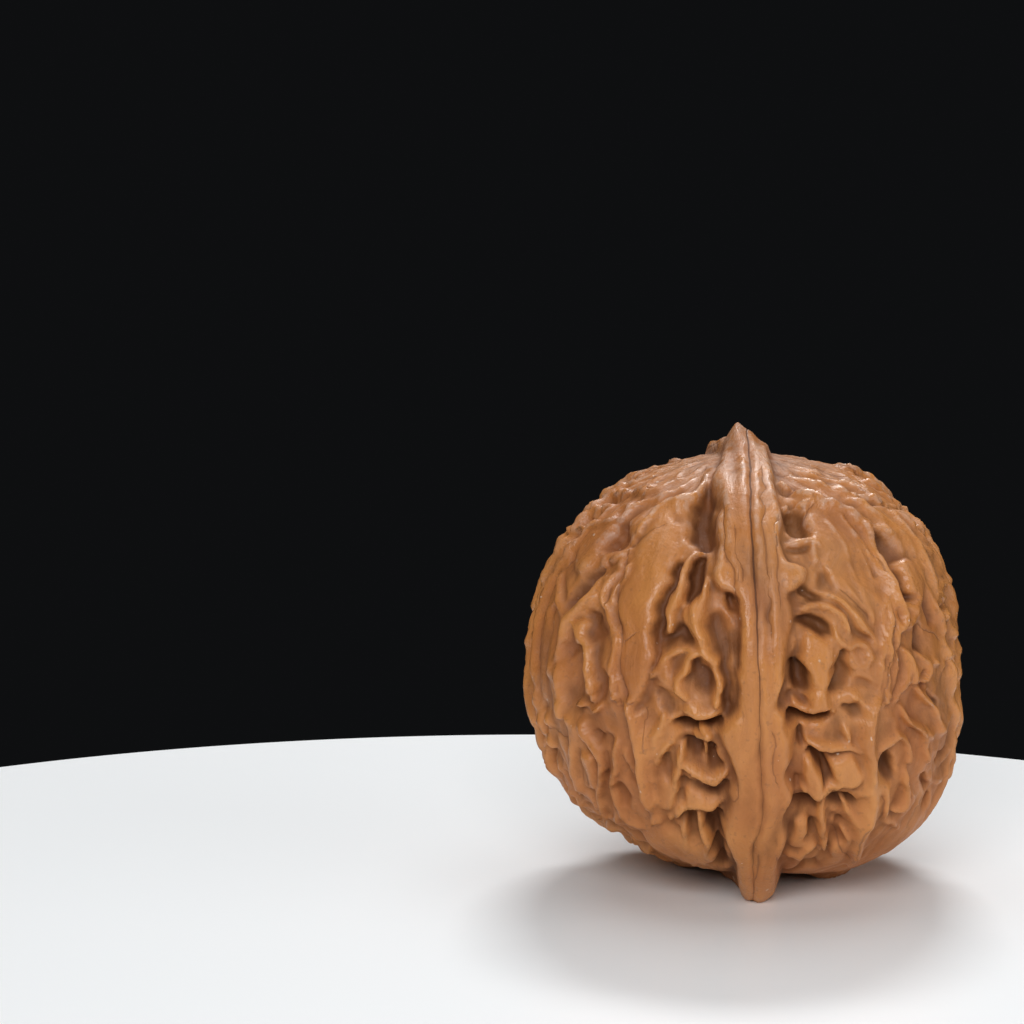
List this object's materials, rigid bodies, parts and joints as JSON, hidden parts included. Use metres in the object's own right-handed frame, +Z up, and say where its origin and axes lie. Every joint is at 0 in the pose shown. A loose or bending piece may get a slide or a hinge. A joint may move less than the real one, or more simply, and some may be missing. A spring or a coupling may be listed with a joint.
{
  "type": "walnut",
  "caption": "Wenwan walnut, a squarish ridged nut with a raised seam rib, a pointed beak and winding folds and pits, standing on its flattened foot.",
  "frame": {"origin": "centre of the nut's outline, on the surface that it stands on", "axes": "+Z up through the beak, -Y out of the front seam rib, +X across the belly to the right as seen from the front"},
  "size_m": [0.041, 0.0428, 0.043],
  "materials": {
    "shell": "hand-polished nutshell, satin, orange-brown on the ridges and darker in the pits"
  },
  "bodies": {
    "root": {"walnut": "shell"}
  },
  "joints": []
}
